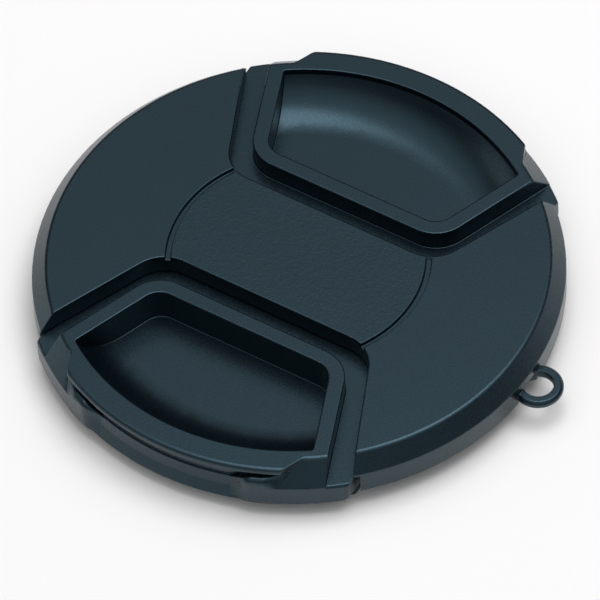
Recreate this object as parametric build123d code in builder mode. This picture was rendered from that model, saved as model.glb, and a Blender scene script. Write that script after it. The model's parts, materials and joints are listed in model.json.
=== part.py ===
from build123d import *
from math import atan, cos, pi, radians, sin, sqrt, tan
import os

os.makedirs("parts", exist_ok=True)

# Centre-pinch lens cap, in millimetres.
# Z is the cap's axis and points out of its front. Z = 0 is the rim's rear edge.
# The slides are pinched along Y, and the cord eyelet is on the +X side.

# Lens thread and rim
filter_thread = 72.0       # diameter of the lens filter thread that the cap fits
thread_pitch = 0.75
rim_overlap = 1.7          # rim's radius beyond the thread's radius
rim_wall = 1.8
front_height = 6.3         # rim's rear edge to the front face
front_wall = 1.6
bevel_width = 2.1
bevel_height = 2.6
bevel_break = 0.2          # narrow facet at the bevel's inner edge

# Openings in the front for the slides
opening_chord = 8.7        # straight edge's distance from the centre line
opening_half_width = 17.2  # at the straight edge
opening_side_angle = 23.7  # from the pinch direction
opening_corner = 5.5
curtain_wall = 1.4         # downturned edge round an opening
edge_break = 0.1           # narrow facet at moulded edges

# Groove round the centre panel
groove_radius = 18.4
groove_width = 0.8
groove_depth = 0.7

# Slide: frame, finger pocket and lip
travel = 2.5               # how far a slide is pinched in
gap_depth = 3.2            # front face to the open floor round the frame
chord_gap = 3.7            # open floor between opening and frame, at the straight edge
side_gap = 3.1             # the same at the sides, along X at the frame's straight edge
frame_width = 2.3
frame_side_angle = 21.2
frame_corner = 5.3
pocket_depth = 5.4
pocket_corner = 0.4        # where the pocket's sides meet its outer edge
pocket_floor = 1.0         # floor's thickness
ramp_width = 7.6           # curved outer side of the pocket, radially
ramp_drop = 0.9            # ramp's top edge below the front face
ramp_facets = 6            # straight steps in the ramp's curved section
ramp_wall = 1.8            # straight down
lip_proud = 0.2            # lip's radius outside the rim's radius
lip_width = 3.7
lip_thickness = 1.0        # lip's edge, above the relief
lip_undercut = 1.0         # depth of the relief below the lip
lip_round = 0.5
lip_facets = 2             # straight steps in the lip's rounded edge
lip_half_width = 17.4      # at the lip's outer edge
lip_end_angle = 23.0       # ends slant in towards the lip's outer edge

# Slide: base plate, outer flange and thread jaw
plate_thickness = 1.5
run_clearance = 0.2        # between sliding faces
rail_wall = 2.4            # base plate outside the spring's slot
flange_half_width = 25.5
flange_corner = 0.8        # cut off the flange's lower corners
notch_gap = 0.7            # between the flange's ends and the rim's ends
flange_proud = 0.9         # flange's radius outside the rim's radius
flange_break = 0.3         # facet at the flange's upper and lower edges
flange_drop = 0.6          # flange's lower edge below the rim's rear edge
jaw_preload = 0.2          # jaw's radius beyond the thread's radius, at rest
thread_ridges = 3
jaw_lead = 0.15            # plain edge below the ridges
thread_depth = 0.4
scoop_half_width = 13.8
scoop_depth = 1.4          # at its upper edge
scoop_sag = 0.35           # hollow of the scoop inside its straight line
scoop_facets = 2           # straight steps in the scoop's section
scoop_toe = 0.4            # depth of the scoop at its lower edge

# Springs
spring_diameter = 2.7
spring_wire = 0.4
wire_sides = 6             # the round wire is drawn with this many sides
spring_turns = 8
turn_sides = 8             # a turn is drawn with this many straight sides
closed_pitch = 1.1         # step of the closed turn at each end, in wire diameters
spring_reach = 12.0        # spring's ends from the centre line
spring_play = 0.4          # beside the spring, in its slot in the base plate
seat_wall = 1.8            # upright wall that a spring pushes on
seat_gap = 0.4             # between that wall and the opening's downturned edge
spigot_play = 0.2          # inside the spring
spigot_length = 2.0
seat_play = 0.05           # at each end of a spring

# Back plate, and the posts that it is staked to
guide_wall = 1.4
guide_length = 34.0
post_radius = 2.0
stake_root = 1.1           # stake's radius at its post
stake_head = 1.9           # at its melted end, flush in the plate's countersunk hole
stake_play = 0.1
post_inset = 4.4           # from the rim's inner wall
post_spread = 8.0          # from the centre line
plate_play = 0.15          # back plate inside the rim
back_chord_gap = 0.5       # back plate to a pinched slide
back_corner = 4.0
back_side_gap = 0.5        # back plate to the flange's ends
window_width = 1.9         # windows that show the springs, narrower than they are
window_length = 13.0

# Cord eyelet
eyelet_hole_radius = 2.2
eyelet_width = 1.4
eyelet_height = 1.4
eyelet_offset = 1.25       # hole's centre outside the rim's radius
eyelet_base = 0.65         # above the rim's rear edge
eyelet_break = 0.4

cut_margin = 4.0           # cuts run past the outside by this


def side_shift(gap, side_angle):
    """Step along X that moves a slanted side by a gap measured square to it."""
    return gap / cos(radians(side_angle))


def corner_shift(gap, side_angle):
    """Step along X of an outline's corner when all its sides move in by the gap."""
    return side_shift(gap, side_angle) - gap * tan(radians(side_angle))


# Heights and radii that follow from these
rim_radius = filter_thread / 2 + rim_overlap
rim_inside = rim_radius - rim_wall
bevel_top_radius = rim_radius - bevel_width
bevel_bottom = front_height - bevel_height
ledge = front_height - gap_depth
front_inside = front_height - front_wall
plate_bottom = ledge - plate_thickness
back_thickness = plate_bottom - run_clearance
frame_chord = opening_chord + chord_gap
frame_half_width = opening_half_width + chord_gap * tan(radians(opening_side_angle)) - side_gap
pocket_chord = frame_chord + frame_width
pocket_bottom = front_height - pocket_depth
tub_bottom = pocket_bottom - pocket_floor
lip_radius = rim_radius + lip_proud
pocket_radius = lip_radius - lip_width
flange_radius = rim_radius + flange_proud
plate_edge = travel + run_clearance
jaw_radius = filter_thread / 2 + jaw_preload
jaw_bottom = -flange_drop - thread_ridges * thread_pitch - jaw_lead
reach = rim_radius + cut_margin
spring_height = (back_thickness + front_inside) / 2
spring_offset = (
    opening_half_width
    + (spring_reach + seat_wall - opening_chord) * tan(radians(opening_side_angle))
    + side_shift(curtain_wall + seat_gap, opening_side_angle)
    + spring_diameter / 2
)
rail_half_width = spring_offset + spring_diameter / 2 + spring_play + rail_wall
spring_radius = (spring_diameter - spring_wire) / 2
spigot_radius = spring_diameter / 2 - spring_wire - spigot_play


def pinch_outline(chord, half_width, side_angle, corner):
    """Outline that opens from a straight edge towards the rim, on the -Y side."""
    far_half_width = half_width + (reach - chord) * tan(radians(side_angle))
    with BuildSketch() as outline:
        with BuildLine():
            Polyline(
                (-half_width, -chord),
                (half_width, -chord),
                (far_half_width, -reach),
                (-far_half_width, -reach),
                close=True,
            )
        make_face()
        fillet(outline.vertices().group_by(Axis.Y)[-1], corner)
    return outline.sketch


opening_outline = pinch_outline(opening_chord, opening_half_width, opening_side_angle, opening_corner)
curtain_outline = pinch_outline(
    opening_chord - curtain_wall,
    opening_half_width + corner_shift(curtain_wall, opening_side_angle),
    opening_side_angle,
    opening_corner + curtain_wall,
)
frame_outline = pinch_outline(frame_chord, frame_half_width, frame_side_angle, frame_corner)
pocket_outline = pinch_outline(
    pocket_chord,
    frame_half_width - corner_shift(frame_width, frame_side_angle),
    frame_side_angle,
    frame_corner - frame_width,
)
back_chord = frame_chord - travel - back_chord_gap
back_outline = pinch_outline(
    back_chord,
    opening_half_width + (back_chord - opening_chord) * tan(radians(opening_side_angle)),
    opening_side_angle,
    back_corner,
)
flange_root = sqrt(pocket_radius**2 - flange_half_width**2)
flange_edge = flange_root - travel - back_chord_gap
half_turns = (0, 180)
sides = (-1, 1)
post_offset = rim_inside - post_inset
posts = [(post_offset * side, post_spread * end) for side in sides for end in sides]


def bowed(start, end, sag, facets):
    """Points from start to end on a curve that sags to the right of that direction."""
    along = Vector(*end) - Vector(*start)
    aside = Vector(along.Y, -along.X).normalized()
    steps = [step / facets for step in range(facets + 1)]
    return [Vector(*start) + along * step + aside * (4 * sag * step * (1 - step)) for step in steps]


# Cord eyelet: a ring that grows out of the rim
eyelet_centre = rim_radius + eyelet_offset
with BuildPart() as eyelet_ring:
    with BuildSketch(Plane.XY.offset(eyelet_base)):
        with Locations((eyelet_centre, 0)):
            Circle(eyelet_hole_radius + eyelet_width)
    extrude(amount=eyelet_height)
    chamfer(eyelet_ring.edges().filter_by(GeomType.CIRCLE), eyelet_break)
    with BuildSketch(Plane.XY.offset(eyelet_base)):
        Circle(rim_radius - rim_wall / 2)
    extrude(amount=eyelet_height, mode=Mode.SUBTRACT)

# Space inside the shell, with the openings' downturned edges left standing in it
with BuildPart() as shell_space:
    with BuildSketch(Plane.XZ):
        with BuildLine():
            Polyline(
                (0, 0),
                (rim_inside, 0),
                (rim_inside, ledge),
                (rim_inside - (front_inside - ledge) * bevel_width / bevel_height, front_inside),
                (0, front_inside),
                close=True,
            )
        make_face()
    revolve(axis=Axis.Z)
    with BuildSketch(Plane.XY.offset(ledge + run_clearance)):
        for turn in half_turns:
            add(curtain_outline, rotation=turn)
    extrude(amount=front_inside - ledge - run_clearance, mode=Mode.SUBTRACT)

# Front shell: dish with a bevelled rim, openings, notches for the flanges, guides, staked posts and eyelet
with BuildPart() as front_shell:
    with BuildSketch(Plane.XY):
        Circle(reach)
        for turn in half_turns:
            add(opening_outline, rotation=turn, mode=Mode.SUBTRACT)
    extrude(amount=front_height)
    face_edges = front_shell.edges().group_by(Axis.Z)[-1]
    chamfer(face_edges.filter_by(lambda edge: edge.center().length < reach), edge_break)
    with BuildSketch(Plane.XZ) as dish_section:
        with BuildLine():
            Polyline(
                (0, 0),
                (0, front_height),
                (bevel_top_radius, front_height),
                (rim_radius, bevel_bottom),
                (rim_radius, 0),
                close=True,
            )
        make_face()
        chamfer(dish_section.vertices().sort_by_distance((bevel_top_radius, front_height))[0], bevel_break)
    revolve(axis=Axis.Z, mode=Mode.INTERSECT)
    add(shell_space.part, mode=Mode.SUBTRACT)
    with BuildSketch(Plane.XY):
        Rectangle(2 * (flange_half_width + notch_gap), 2 * reach)
    extrude(amount=ledge + run_clearance, mode=Mode.SUBTRACT)
    with BuildSketch(Plane.XY.offset(front_height)):
        Circle(groove_radius + groove_width / 2)
        Circle(groove_radius - groove_width / 2, mode=Mode.SUBTRACT)
    extrude(amount=-groove_depth, mode=Mode.SUBTRACT)
    with BuildSketch(Plane.XY.offset(back_thickness)):
        with GridLocations(2 * rail_half_width + 2 * run_clearance + guide_wall, 0, 2, 1):
            Rectangle(guide_wall, guide_length)
        with Locations(posts):
            Circle(post_radius)
    extrude(amount=front_inside - back_thickness)
    with Locations(posts):
        Cone(stake_head, stake_root, back_thickness, align=(Align.CENTER, Align.CENTER, Align.MIN))
    add(eyelet_ring.part)
    with BuildSketch(Plane.XY):
        with Locations((eyelet_centre, 0)):
            Circle(eyelet_hole_radius)
    extrude(amount=eyelet_base + eyelet_height, mode=Mode.SUBTRACT)

front_shell.part.label = "front_shell"
export_step(front_shell.part, "parts/front_shell.step")

# Frame round the finger pocket, with a bevel down to the flange across its outer side
with BuildPart() as frame_block:
    with BuildSketch(Plane.XY.offset(tub_bottom)):
        add(frame_outline)
    extrude(amount=front_height - tub_bottom)
    chamfer(frame_block.edges().group_by(Axis.Z)[-1].sort_by(Axis.Y)[1:], edge_break)
    with BuildSketch(Plane.XZ) as frame_section:
        with BuildLine():
            Polyline(
                (0, tub_bottom),
                (0, front_height),
                (bevel_top_radius, front_height),
                (flange_radius, ledge),
                (flange_radius, plate_bottom),
                (pocket_radius, plate_bottom),
                (pocket_radius, tub_bottom),
                close=True,
            )
        make_face()
        chamfer(frame_section.vertices().sort_by_distance((bevel_top_radius, front_height))[0], bevel_break)
    revolve(axis=Axis.Z, mode=Mode.INTERSECT)

# Lip's plan, with slanted ends
lip_end = -sqrt(lip_radius**2 - lip_half_width**2)
lip_slant = tan(radians(lip_end_angle))
lip_root = lip_half_width + (-frame_chord - lip_end) * lip_slant
lip_tip = lip_half_width + (-reach - lip_end) * lip_slant
with BuildSketch() as lip_plan:
    add(frame_outline)
    with BuildLine():
        Polyline(
            (-lip_root, -frame_chord),
            (lip_root, -frame_chord),
            (lip_tip, -reach),
            (-lip_tip, -reach),
            close=True,
        )
    make_face(mode=Mode.INTERSECT)

# Relief that leaves the lip standing free above the flange
relief_radius = lip_radius - lip_undercut
with BuildPart() as lip_relief:
    with BuildSketch(Plane.XY.offset(ledge)):
        add(lip_plan.sketch)
        Circle(relief_radius, mode=Mode.SUBTRACT)
    extrude(amount=front_height - ledge)

# Lip above the relief, with a rounded edge
with BuildPart() as lip_block:
    with BuildSketch(Plane.XY.offset(ledge)):
        add(lip_plan.sketch)
    extrude(amount=front_height - ledge)
    lip_crest = (lip_radius - lip_round, front_height)
    lip_brink = (lip_radius, front_height - lip_round)
    lip_foot = bevel_top_radius - bevel_break
    quarter_round_sag = lip_round * (1 - sqrt(0.5))
    lip_bottom = front_height - lip_thickness
    with BuildSketch(Plane.XZ):
        with BuildLine():
            Polyline(
                (relief_radius, ledge),
                (relief_radius, lip_bottom),
                (lip_radius, lip_bottom),
                *bowed(lip_brink, lip_crest, quarter_round_sag, lip_facets),
                (lip_foot, front_height),
                (lip_foot, ledge),
                close=True,
            )
        make_face()
    revolve(axis=Axis.Z, mode=Mode.INTERSECT)

# Outer flange, and the jaw below it with ridges that catch the lens thread
with BuildPart() as flange_block:
    jaw_half_width = flange_half_width - flange_corner
    with BuildSketch(Plane.XZ):
        with BuildLine():
            Polyline(
                (-flange_half_width, ledge),
                (flange_half_width, ledge),
                (flange_half_width, flange_corner - flange_drop),
                (jaw_half_width, -flange_drop),
                (jaw_half_width, jaw_bottom),
                (-jaw_half_width, jaw_bottom),
                (-jaw_half_width, -flange_drop),
                (-flange_half_width, flange_corner - flange_drop),
                close=True,
            )
        make_face()
    extrude(amount=reach)
    root_radius = jaw_radius - thread_depth
    ridges = []
    for ridge in range(thread_ridges):
        ridge_bottom = jaw_bottom + jaw_lead + ridge * thread_pitch
        ridges += [(root_radius, ridge_bottom), (jaw_radius, ridge_bottom + thread_pitch / 2)]
    with BuildSketch(Plane.XZ) as flange_section:
        with BuildLine():
            Polyline(
                (pocket_radius, ledge),
                (pocket_radius, jaw_bottom),
                (root_radius, jaw_bottom),
                *ridges,
                (root_radius, -flange_drop),
                (flange_radius, -flange_drop),
                (flange_radius, ledge),
                close=True,
            )
        make_face()
        chamfer(flange_section.vertices().sort_by(Axis.X)[-2:], flange_break)
    revolve(axis=Axis.Z, mode=Mode.INTERSECT)

# Finger pocket: steep on three sides, with a hollow ramp that leaves the floor level and rises to the lip
ramp_foot = pocket_radius - ramp_width
ramp_turn = 2 * atan((pocket_depth - ramp_drop) / ramp_width)
ramp_curve = ramp_width / sin(ramp_turn)
ramp_points = []
for step in range(ramp_facets + 1):
    turned = ramp_turn * step / ramp_facets
    ramp_points.append((ramp_foot + ramp_curve * sin(turned), pocket_bottom + ramp_curve * (1 - cos(turned))))
with BuildPart() as pocket_void:
    with BuildSketch(Plane.XY.offset(pocket_bottom)) as pocket_plan:
        add(pocket_outline)
        Circle(pocket_radius, mode=Mode.INTERSECT)
        fillet(pocket_plan.vertices().group_by(Axis.Y)[0], pocket_corner)
    extrude(amount=pocket_depth + cut_margin)
    with BuildSketch(Plane.XZ):
        with BuildLine():
            Polyline(
                *ramp_points,
                (reach, front_height - ramp_drop),
                (reach, reach),
                (0, reach),
                (0, pocket_bottom),
                close=True,
            )
        make_face()
    revolve(axis=Axis.Z, mode=Mode.INTERSECT)

# Space behind the ramp, open to the rear
with BuildPart() as ramp_hollow:
    with BuildSketch(Plane.XY.offset(jaw_bottom)):
        add(pocket_outline)
    extrude(amount=front_height - jaw_bottom)
    with BuildSketch(Plane.XZ):
        with BuildLine():
            Polyline(
                *[(radius, height - ramp_wall) for radius, height in ramp_points],
                (pocket_radius, jaw_bottom),
                (ramp_foot, jaw_bottom),
                close=True,
            )
        make_face()
    revolve(axis=Axis.Z, mode=Mode.INTERSECT)

# Scoop in the flange, for a grip from the side
scoop_head = (flange_radius - scoop_depth, ledge)
scoop_foot = (flange_radius - scoop_toe, -flange_drop)
with BuildPart() as scoop_void:
    with BuildSketch(Plane.XZ):
        with Locations((0, (ledge - flange_drop) / 2)):
            Rectangle(2 * scoop_half_width, ledge + flange_drop)
    extrude(amount=reach)
    with BuildSketch(Plane.XZ):
        with BuildLine():
            Polyline(
                *bowed(scoop_head, scoop_foot, scoop_sag, scoop_facets),
                (reach, -flange_drop),
                (reach, ledge),
                close=True,
            )
        make_face()
    revolve(axis=Axis.Z, mode=Mode.INTERSECT)

# Slide nearer to -Y: base plate on its rails, frame with pocket, flange and jaw
with BuildPart() as front_slide:
    with BuildSketch(Plane.XY.offset(plate_bottom)):
        with Locations((0, -(plate_edge + reach) / 2)):
            Rectangle(2 * rail_half_width, reach - plate_edge)
        Circle(rim_inside - run_clearance, mode=Mode.INTERSECT)
        with Locations([(spring_offset * side, -(plate_edge + spring_reach) / 2) for side in sides]):
            Rectangle(spring_diameter + 2 * spring_play, spring_reach - plate_edge, mode=Mode.SUBTRACT)
    extrude(amount=plate_thickness)
    seat_top = front_inside - run_clearance
    with BuildSketch(Plane.XZ.offset(spring_reach)):
        with Locations([(spring_offset * side, (plate_bottom + seat_top) / 2) for side in sides]):
            Rectangle(spring_diameter, seat_top - plate_bottom)
    extrude(amount=seat_wall)
    with BuildSketch(Plane.XZ.offset(spring_reach)):
        with Locations([(spring_offset * side, spring_height) for side in sides]):
            Circle(spigot_radius)
    extrude(amount=-spigot_length)
    add(flange_block.part)
    add(frame_block.part)
    add(lip_relief.part, mode=Mode.SUBTRACT)
    add(lip_block.part)
    add(pocket_void.part, mode=Mode.SUBTRACT)
    add(ramp_hollow.part, mode=Mode.SUBTRACT)
    add(scoop_void.part, mode=Mode.SUBTRACT)
    top_face = front_slide.faces().filter_by(Plane.XY).sort_by(Axis.Z)[-1]
    chamfer(top_face.inner_wires()[0].edges(), edge_break)

front_slide.part.label = "front_slide"
export_step(front_slide.part, "parts/front_slide.step")

# The other slide is the same moulding, turned half a turn
with BuildPart() as rear_slide:
    add(front_slide.part, rotation=(0, 0, 180))

rear_slide.part.label = "rear_slide"
export_step(rear_slide.part, "parts/rear_slide.step")

# Back plate, staked to the shell's posts, with windows that show the springs
with BuildPart() as back_plate:
    with BuildSketch(Plane.XY):
        Circle(rim_inside - plate_play)
        for turn in half_turns:
            add(back_outline, rotation=turn, mode=Mode.SUBTRACT)
        with Locations([(0, (flange_edge + reach) / 2 * end) for end in sides]):
            Rectangle(2 * (flange_half_width + back_side_gap), reach - flange_edge, mode=Mode.SUBTRACT)
        with Locations([(spring_offset * side, 0) for side in sides]):
            Rectangle(window_width, window_length, mode=Mode.SUBTRACT)
    extrude(amount=back_thickness)
    with Locations(posts):
        Cone(
            stake_head + stake_play,
            stake_root + stake_play,
            back_thickness,
            align=(Align.CENTER, Align.CENTER, Align.MIN),
            mode=Mode.SUBTRACT,
        )

back_plate.part.label = "back_plate"
export_step(back_plate.part, "parts/back_plate.step")

# Springs: a coil with one closed turn at each end
closed_step = closed_pitch * spring_wire / turn_sides
spring_length = 2 * (spring_reach - seat_play) - spring_wire
open_step = (spring_length - 2 * turn_sides * closed_step) / (turn_sides * (spring_turns - 2))
closed_steps = turn_sides * [closed_step]
coil_steps = closed_steps + turn_sides * (spring_turns - 2) * [open_step] + closed_steps
coil_corners = []
for corner in range(turn_sides * spring_turns + 1):
    angle = 2 * pi * corner / turn_sides
    across = -spring_offset + spring_radius * sin(angle)
    along = sum(coil_steps[:corner]) - spring_length / 2
    coil_corners.append((across, along, spring_height + spring_radius * cos(angle)))
with BuildPart() as left_spring:
    with BuildLine() as coil:
        Polyline(*coil_corners)
    with BuildSketch(Plane(coil.line @ 0, x_dir=(0, 0, 1), z_dir=coil.line % 0)):
        RegularPolygon(spring_wire / 2, wire_sides)
    sweep(transition=Transition.RIGHT)

left_spring.part.label = "left_spring"
export_step(left_spring.part, "parts/left_spring.step")

with BuildPart() as right_spring:
    with Locations((2 * spring_offset, 0, 0)):
        add(left_spring.part)

right_spring.part.label = "right_spring"
export_step(right_spring.part, "parts/right_spring.step")
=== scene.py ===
import bpy
import json
from math import asin, atan2, cos, pi, radians, sin
from mathutils import Matrix, Vector

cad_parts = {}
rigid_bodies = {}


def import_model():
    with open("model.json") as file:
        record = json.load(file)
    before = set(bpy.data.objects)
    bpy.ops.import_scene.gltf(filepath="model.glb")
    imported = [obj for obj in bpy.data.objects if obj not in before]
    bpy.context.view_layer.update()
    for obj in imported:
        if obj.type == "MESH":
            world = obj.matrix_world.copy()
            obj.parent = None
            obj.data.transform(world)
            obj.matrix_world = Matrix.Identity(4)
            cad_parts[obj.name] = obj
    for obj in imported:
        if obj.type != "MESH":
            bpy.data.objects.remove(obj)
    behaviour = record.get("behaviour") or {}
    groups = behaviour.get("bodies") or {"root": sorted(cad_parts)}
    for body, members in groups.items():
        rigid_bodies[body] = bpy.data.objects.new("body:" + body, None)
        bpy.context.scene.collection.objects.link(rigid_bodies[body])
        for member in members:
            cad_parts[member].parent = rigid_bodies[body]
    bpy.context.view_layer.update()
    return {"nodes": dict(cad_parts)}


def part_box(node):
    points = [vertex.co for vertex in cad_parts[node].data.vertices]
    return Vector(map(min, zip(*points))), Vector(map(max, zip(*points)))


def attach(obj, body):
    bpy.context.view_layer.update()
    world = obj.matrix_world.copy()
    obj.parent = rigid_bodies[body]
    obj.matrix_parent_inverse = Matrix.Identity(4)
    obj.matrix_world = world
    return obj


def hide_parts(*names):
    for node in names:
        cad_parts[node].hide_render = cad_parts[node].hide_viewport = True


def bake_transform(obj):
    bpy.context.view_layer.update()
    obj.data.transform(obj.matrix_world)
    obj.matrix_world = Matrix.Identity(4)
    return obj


# Centre-pinch lens cap on a white table. The shell, its two slides and its back plate are the
# frame's own solids with softened edges. The shoulders below the lips' ends are added here, and
# the springs are wound here as round wire.

for leftover in list(bpy.data.objects):
    bpy.data.objects.remove(leftover)

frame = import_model()
cap = frame["nodes"]
scene = bpy.context.scene
scene.view_settings.view_transform = "Standard"

MM = 0.001


def linear(hex_colour):
    """sRGB hex to the linear colour that a socket takes."""
    channels = [int(hex_colour[i:i + 2], 16) / 255 for i in (1, 3, 5)]
    return [c / 12.92 if c <= 0.04045 else ((c + 0.055) / 1.055) ** 2.4 for c in channels] + [1.0]


def add_node(tree, kind, settings=None, links=None, **sockets):
    """Adds a node: its settings, links from other nodes' outputs, and its sockets' values."""
    made = tree.nodes.new(kind)
    for name, value in (settings or {}).items():
        setattr(made, name, value)
    for name, value in sockets.items():
        made.inputs[name.replace("_", " ")].default_value = value
    for socket, (source, output) in (links or {}).items():
        tree.links.new(source.outputs[output], made.inputs[socket])
    return made


def new_material(name):
    """An empty node material and its tree."""
    material = bpy.data.materials.new(name)
    material.use_nodes = True
    material.node_tree.nodes.clear()
    return material, material.node_tree


def moulded_abs(name, panel_radius):
    """Black ABS moulded in a spark-eroded tool: a fine even grain breaks its gloss into a satin sheen.
    Inside panel_radius the grain is coarser, so the centre panel looks pebbled."""
    material, tree = new_material(name)
    place = add_node(tree, "ShaderNodeTexCoord")
    # The tool's grain is about 0.08 mm, too fine to show here, so it is drawn at 0.3 mm.
    grain_width = 0.3 * MM
    grain_relief = 0.03 * MM
    grain = add_node(tree, "ShaderNodeTexNoise", links={"Vector": (place, "Object")},
                     Scale=1 / grain_width, Detail=2.0, Roughness=0.6)
    # Faint cloudiness of the melt, a few millimetres across
    cloud_width = 6 * MM
    cloud = add_node(tree, "ShaderNodeTexNoise", links={"Vector": (place, "Object")},
                     Scale=1 / cloud_width, Detail=3.0, Roughness=0.55)
    black = add_node(tree, "ShaderNodeValToRGB", links={"Fac": (cloud, "Fac")})
    for stop, (spot, shade) in zip(black.color_ramp.elements, ((0.3, "#04090D"), (0.7, "#060D12"))):
        stop.position = spot
        stop.color = linear(shade)
    gloss = add_node(tree, "ShaderNodeMapRange", links={"Value": (grain, "Fac")},
                     From_Min=0.3, From_Max=0.7, To_Min=0.25, To_Max=0.35)
    bump = add_node(tree, "ShaderNodeBump", links={"Height": (grain, "Fac")},
                    Strength=0.28, Distance=grain_relief)
    if panel_radius:
        # The panel's grain is about 0.25 mm, drawn at 0.6 mm so that it shows at this size.
        pebble_width = 0.6 * MM
        pebble_relief = 0.05 * MM
        panel_edge = 0.2 * MM
        pebble = add_node(tree, "ShaderNodeTexNoise", links={"Vector": (place, "Object")},
                          Scale=1 / pebble_width, Detail=2.0, Roughness=0.5)
        spot = add_node(tree, "ShaderNodeSeparateXYZ", links={"Vector": (place, "Object")})
        on_plan = add_node(tree, "ShaderNodeCombineXYZ", links={"X": (spot, "X"), "Y": (spot, "Y")})
        from_axis = add_node(tree, "ShaderNodeVectorMath", {"operation": "LENGTH"},
                             {"Vector": (on_plan, "Vector")})
        inside = add_node(tree, "ShaderNodeMapRange", links={"Value": (from_axis, "Value")},
                          From_Min=panel_radius - panel_edge, From_Max=panel_radius,
                          To_Min=0.4, To_Max=0.0)
        bump = add_node(tree, "ShaderNodeBump",
                        links={"Height": (pebble, "Fac"), "Strength": (inside, "Result"),
                               "Normal": (bump, "Normal")},
                        Distance=pebble_relief)
    # The photo's gloss is a cool blue-grey, which the tint gives.
    shader = add_node(tree, "ShaderNodeBsdfPrincipled",
                      links={"Base Color": (black, "Color"), "Roughness": (gloss, "Result"),
                             "Normal": (bump, "Normal")},
                      IOR=1.53, Specular_IOR_Level=0.62, Specular_Tint=linear("#B5E4F7"))
    add_node(tree, "ShaderNodeOutputMaterial", links={"Surface": (shader, "BSDF")})
    return material


def spring_steel():
    """Drawn spring steel wire: bright, with faint marks along the wire from the die."""
    material, tree = new_material("spring_steel_drawn")
    place = add_node(tree, "ShaderNodeTexCoord")
    # The wire's UV counts the marks, so their scale is 1.
    die_marks = add_node(tree, "ShaderNodeTexNoise", links={"Vector": (place, "UV")},
                         Scale=1.0, Detail=2.0)
    tone = add_node(tree, "ShaderNodeValToRGB", links={"Fac": (die_marks, "Fac")})
    for stop, (spot, shade) in zip(tone.color_ramp.elements, ((0.3, "#A9ABAA"), (0.7, "#CFD0CE"))):
        stop.position = spot
        stop.color = linear(shade)
    gloss = add_node(tree, "ShaderNodeMapRange", links={"Value": (die_marks, "Fac")},
                     From_Min=0.3, From_Max=0.7, To_Min=0.22, To_Max=0.38)
    shader = add_node(tree, "ShaderNodeBsdfPrincipled",
                      links={"Base Color": (tone, "Color"), "Roughness": (gloss, "Result")},
                      Metallic=1.0)
    add_node(tree, "ShaderNodeOutputMaterial", links={"Surface": (shader, "BSDF")})
    return material


def white_paper():
    """Matt white paper: no gloss, so the table holds only the cap's soft shadow."""
    material, tree = new_material("white_paper")
    matt = add_node(tree, "ShaderNodeBsdfDiffuse", Color=linear("#F6F0EC"))
    add_node(tree, "ShaderNodeOutputMaterial", links={"Surface": (matt, "BSDF")})
    return material


panel_groove_radius = 18.0 * MM
black_abs = moulded_abs("moulded_abs_black", 0)
panelled_abs = moulded_abs("moulded_abs_black_panelled", panel_groove_radius)
bright_wire = spring_steel()

# Edges of the mouldings
weld_gap = 0.002 * MM
flat_within = radians(0.6)
edge_round = 0.14 * MM
edge_from = radians(18.5)


def soften(node_name, plastic):
    """Joins a solid's faces and rounds its moulded edges."""
    moulding = cap[node_name]
    weld = moulding.modifiers.new("joined_faces", "WELD")
    weld.merge_threshold = weld_gap
    flat = moulding.modifiers.new("whole_flats", "DECIMATE")
    flat.decimate_type = "DISSOLVE"
    flat.angle_limit = flat_within
    rounding = moulding.modifiers.new("moulded_edges", "BEVEL")
    rounding.width = edge_round
    rounding.segments = 3
    rounding.limit_method = "ANGLE"
    rounding.angle_limit = edge_from
    rounding.use_clamp_overlap = False
    shading = moulding.modifiers.new("even_shading", "WEIGHTED_NORMAL")
    shading.weight = 80
    shading.keep_sharp = False
    for face in moulding.data.polygons:
        face.use_smooth = True
    moulding.data.materials.clear()
    moulding.data.materials.append(plastic)


soften("front_shell", panelled_abs)
for moulded in ("front_slide", "rear_slide", "back_plate"):
    soften(moulded, black_abs)

# Below each end of a lip the flange rises to a low shoulder, which runs out into the scoop.
# The corner is a point on the plan, and the other pairs are a radius from the cap's axis and a height.
lip_corner = Vector((17.4 * MM, -33.67 * MM))
lip_end_slant = 0.4245
scoop_head = Vector((37.22 * MM, 3.1 * MM))
scoop_foot = Vector((38.22 * MM, -0.6 * MM))
scoop_hollow = 0.35 * MM
scoop_end = 13.8 * MM
run_out_end = 10.2 * MM
shoulder_root = 36.85 * MM
shoulder_face = 38.62 * MM
shoulder_top = 4.6 * MM
shoulder_bottom = -0.28 * MM
facet_crest = Vector((35.6 * MM, 6.3 * MM))
facet_run = 3.0 * MM
facet_drop = 3.2 * MM
facet_fade = 0.6
brow_start = 0.6
brow_drop = 0.5 * MM
shoulder_sections = 36
top_steps = 10
face_steps = 9


def eased(share):
    """0 to 1 with a level start and end."""
    share = min(max(share, 0), 1)
    return share * share * (3 - 2 * share)


def lip_end_bearing(radius):
    """Angle from the slide's middle at which a lip of this radius meets its slanted end."""
    end_y = lip_corner.y
    # A dozen rounds settle where the slanted end crosses the radius.
    for _ in range(12):
        end_x = lip_corner.x + (end_y - lip_corner.y) * lip_end_slant
        end_y = -(radius * radius - end_x * end_x) ** 0.5
    return atan2(end_x, -end_y)


def scoop_radius(height):
    """Radius of the scoop's hollow face at a height."""
    down = min(max((scoop_head.y - height) / (scoop_head.y - scoop_foot.y), 0), 1)
    return scoop_head.x + (scoop_foot.x - scoop_head.x) * down - scoop_hollow * 4 * down * (1 - down)


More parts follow.
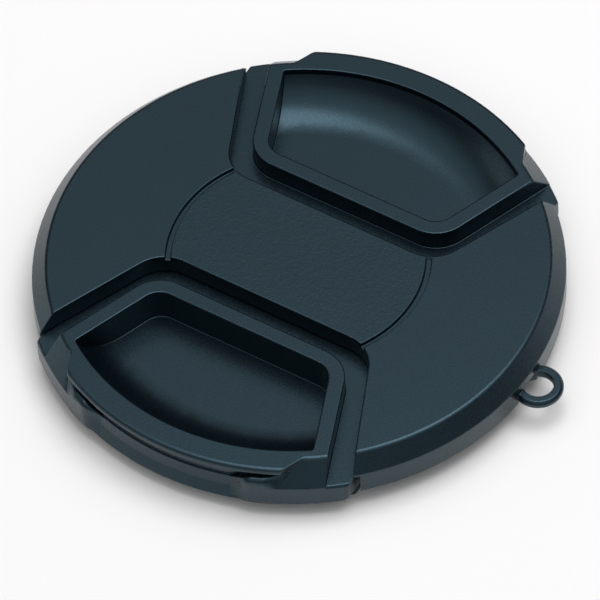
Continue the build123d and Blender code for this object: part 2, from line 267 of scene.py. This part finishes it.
def shoulder_section(along):
    """Outline of a shoulder, as radii and heights. It starts as the slanted facet at the lip's end,
    where along is 0, has its full form by the scoop's end at 1, and has run out into the scoop at 2."""
    grown = eased(along / facet_fade)
    sunk = eased(along - 1)
    edge = shoulder_face + (scoop_head.x - shoulder_face) * sunk
    crown = shoulder_top + (scoop_head.y - shoulder_top) * sunk
    outline = [(shoulder_root, shoulder_bottom)]
    for spot in range(top_steps + 1):
        share = spot / top_steps
        radius = shoulder_root + (edge - shoulder_root) * share
        round_off = brow_drop * (1 - sunk) * max((share - brow_start) / (1 - brow_start), 0) ** 2
        facet = facet_crest.y - (radius - facet_crest.x) * facet_drop / facet_run
        outline.append((radius, facet + (crown - round_off - facet) * grown))
    brow = outline[-1][1]
    for spot in range(1, face_steps + 1):
        height = brow + (shoulder_bottom - brow) * spot / face_steps
        outline.append((shoulder_face + (scoop_radius(height) - shoulder_face) * sunk, height))
    return outline


def shoulder_bearing(radius, along):
    """Angle from the slide's middle of a point of the shoulder."""
    lip_end = lip_end_bearing(radius)
    full_form = asin(scoop_end / radius)
    if along < 1:
        return lip_end + (full_form - lip_end) * along
    return full_form + (asin(run_out_end / radius) - full_form) * (along - 1)


def lip_shoulder(slide, side, turn):
    """Shoulder below one end of a lip: side is the end along X, and turn is 1 for the slide at -Y
    and -1 for the other."""
    verts, faces = [], []
    for step in range(shoulder_sections + 1):
        along = 2 * step / shoulder_sections
        outline = shoulder_section(along)
        for radius, height in outline:
            bearing = shoulder_bearing(radius, along)
            verts.append((turn * side * radius * sin(bearing), -turn * radius * cos(bearing), height))
    ring = len(outline)
    for step in range(shoulder_sections):
        for spot in range(ring):
            a = step * ring + spot
            b = step * ring + (spot + 1) % ring
            faces.append((a, b, b + ring, a + ring) if side > 0 else (a, a + ring, b + ring, b))
    last = shoulder_sections * ring
    ends = [tuple(reversed(range(ring))), tuple(range(last, last + ring))]
    faces += ends if side > 0 else [tuple(reversed(end)) for end in ends]
    name = slide + ("_right" if side > 0 else "_left") + "_lip_shoulder"
    mesh = bpy.data.meshes.new(name)
    mesh.from_pydata(verts, [], faces)
    for face in mesh.polygons:
        face.use_smooth = len(face.vertices) == 4
    mesh.materials.append(black_abs)
    shoulder = bpy.data.objects.new(name, mesh)
    scene.collection.objects.link(shoulder)
    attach(shoulder, slide)


for slide_name, facing in (("front_slide", 1), ("rear_slide", -1)):
    for lip_side in (-1, 1):
        lip_shoulder(slide_name, lip_side, facing)

# Springs: eight turns with a closed turn at each end, wound from 0.4 mm wire
wire = 0.4 * MM
coil_radius = 1.15 * MM
coil_turns = 8
closed_rise = 1.1 * wire
points_per_turn = 28
wire_facets = 12
# The die's marks, long along the wire and narrow round it
mark_length = 0.74 * MM
mark_width = 0.065 * MM


def coil_half(spring_node, end):
    """Winds half of a spring, from its middle to its front end at -1 or its rear end at 1."""
    low, high = (Vector(corner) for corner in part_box(spring_node))
    middle = (low + high) / 2
    half_length = (high.y - low.y - wire) / 2
    steps = coil_turns * points_per_turn // 2
    marks_per_step = 2 * pi * coil_radius / points_per_turn / mark_length
    marks_per_facet = pi * wire / wire_facets / mark_width
    verts, faces, spots = [], [], []

    def on_coil(turn):
        """Point of the wire's centre line, turn counted from the middle."""
        open_turns = coil_turns / 2 - 1
        open_length = half_length - closed_rise
        if turn <= open_turns:
            along = turn * open_length / open_turns
        else:
            along = open_length + (turn - open_turns) * closed_rise
        angle = 2 * pi * turn * end
        return middle + Vector((coil_radius * cos(angle), end * along, coil_radius * sin(angle)))

    nudge = 0.01
    for step in range(steps + 1):
        turn = step / points_per_turn
        here = on_coil(turn)
        ahead = (on_coil(turn + nudge) - on_coil(turn - nudge if step else turn)).normalized()
        out = (here - Vector((middle.x, here.y, middle.z))).normalized()
        side = ahead.cross(out).normalized()
        out = side.cross(ahead)
        for facet in range(wire_facets):
            angle = 2 * pi * facet / wire_facets
            verts.append(here + (out * cos(angle) + side * sin(angle)) * wire / 2)
            spots.append((step * marks_per_step, facet * marks_per_facet))
    for step in range(steps):
        for facet in range(wire_facets):
            a = step * wire_facets + facet
            b = step * wire_facets + (facet + 1) % wire_facets
            faces.append((a, b, b + wire_facets, a + wire_facets))
    faces.append(tuple(reversed(range(wire_facets))))
    faces.append(tuple(range(steps * wire_facets, (steps + 1) * wire_facets)))
    half_name = spring_node + ("_rear_half" if end > 0 else "_front_half")
    mesh = bpy.data.meshes.new(half_name)
    mesh.from_pydata(verts, [], faces)
    layer = mesh.uv_layers.new(name="along_wire")
    for loop in mesh.loops:
        layer.data[loop.index].uv = spots[loop.vertex_index]
    for face in mesh.polygons:
        face.use_smooth = len(face.vertices) == 4
    mesh.materials.append(bright_wire)
    coil = bpy.data.objects.new(half_name, mesh)
    scene.collection.objects.link(coil)
    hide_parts(spring_node)
    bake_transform(coil)


for spring in ("left_spring", "right_spring"):
    for coil_end in (-1, 1):
        coil_half(spring, coil_end)

# Camera at the photo's view: a long lens, slightly rolled. Angles are in radians.
picture_px = 600
cap_x_px, cap_y_px = 299.739, 284.343
focal_px = 8387.06
azimuth, elevation, roll = 0.58526, 0.90276, -0.0536
rim_radius = -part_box("front_shell")[0][0]
rims_away = 31.4329
stand_off = rims_away * rim_radius
back = Vector((sin(azimuth) * cos(elevation), -cos(azimuth) * cos(elevation), sin(elevation)))
right = Vector((cos(azimuth), sin(azimuth), 0))
up = back.cross(right)
rolled_right = cos(roll) * right + sin(roll) * up
rolled_up = -sin(roll) * right + cos(roll) * up
aside = (cap_x_px - picture_px / 2) / focal_px
above = (picture_px / 2 - cap_y_px) / focal_px
lens = bpy.data.cameras.new("camera")
lens.sensor_fit = "HORIZONTAL"
lens.sensor_width = 36.0
lens.lens = focal_px * lens.sensor_width / picture_px
camera = bpy.data.objects.new("camera", lens)
camera.matrix_world = (
    Matrix.Translation(stand_off * (back - aside * rolled_right - above * rolled_up))
    @ Matrix((rolled_right, rolled_up, back)).transposed().to_4x4()
)
scene.collection.objects.link(camera)
scene.camera = camera

# White table, level with the jaws' lowest edge
table_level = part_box("front_slide")[0][2]
table_half = 2.0
table_corners = [(x * table_half, y * table_half, table_level)
                 for x, y in ((-1, -1), (1, -1), (1, 1), (-1, 1))]
sheet = bpy.data.meshes.new("table")
sheet.from_pydata(table_corners, [], [(0, 1, 2, 3)])
sheet.materials.append(white_paper())
table = bpy.data.objects.new("table", sheet)
scene.collection.objects.link(table)


def studio_room():
    """Room round the table: a low white backdrop, faint grey walls above it, and a broad glow overhead."""
    room = bpy.data.worlds.new("studio")
    room.use_nodes = True
    tree = room.node_tree
    tree.nodes.clear()
    place = add_node(tree, "ShaderNodeTexCoord")
    height = add_node(tree, "ShaderNodeSeparateXYZ", links={"Vector": (place, "Generated")})
    soft_step = {"interpolation_type": "SMOOTHSTEP"}
    backdrop = add_node(tree, "ShaderNodeMapRange", soft_step, {"Value": (height, "Z")},
                        From_Min=0.05, From_Max=0.12, To_Min=1.0, To_Max=0.0)
    walls = add_node(tree, "ShaderNodeMapRange", soft_step, {"Value": (height, "Z")},
                     From_Min=0.28, From_Max=0.42, To_Min=0.13, To_Max=0.02)
    overhead = add_node(tree, "ShaderNodeVectorMath", {"operation": "DOT_PRODUCT"},
                        {"Vector": (place, "Generated")})
    overhead.inputs[1].default_value = Vector((0.12, -0.05, 1.0)).normalized()
    ceiling = add_node(tree, "ShaderNodeMapRange", soft_step, {"Value": (overhead, "Value")},
                       From_Min=0.3, From_Max=0.9, To_Min=0.0, To_Max=0.97)
    low_part = add_node(tree, "ShaderNodeMath", {"operation": "ADD"},
                        {0: (backdrop, "Result"), 1: (walls, "Result")})
    level = add_node(tree, "ShaderNodeMath", {"operation": "ADD"},
                     {0: (low_part, "Value"), 1: (ceiling, "Result")})
    light = add_node(tree, "ShaderNodeBackground", links={"Strength": (level, "Value")},
                     Color=linear("#F4FAFF"))
    add_node(tree, "ShaderNodeOutputWorld", links={"Surface": (light, "Background")})
    return room


def soft_box(name, toward, reach, width, power, colour):
    """Round soft light that stands off along a direction and faces the cap."""
    lamp = bpy.data.lights.new(name, "AREA")
    lamp.shape = "DISK"
    lamp.size = width
    lamp.energy = power
    lamp.color = linear(colour)[:3]
    stand = bpy.data.objects.new(name, lamp)
    stand.location = Vector(toward).normalized() * reach
    stand.rotation_euler = Vector(toward).to_track_quat("Z", "Y").to_euler()
    scene.collection.objects.link(stand)


# Studio light: a large soft box overhead, a little behind and to the right, and a weak one low on the left
scene.world = studio_room()
soft_box("overhead_soft_box", toward=(0.095, 0.17, 1.0), reach=0.8, width=0.65, power=3.9, colour="#F6FAFF")
soft_box("left_white_card", toward=(-0.9, -0.36, 0.24), reach=0.8, width=0.45, power=0.42, colour="#FBFBF6")
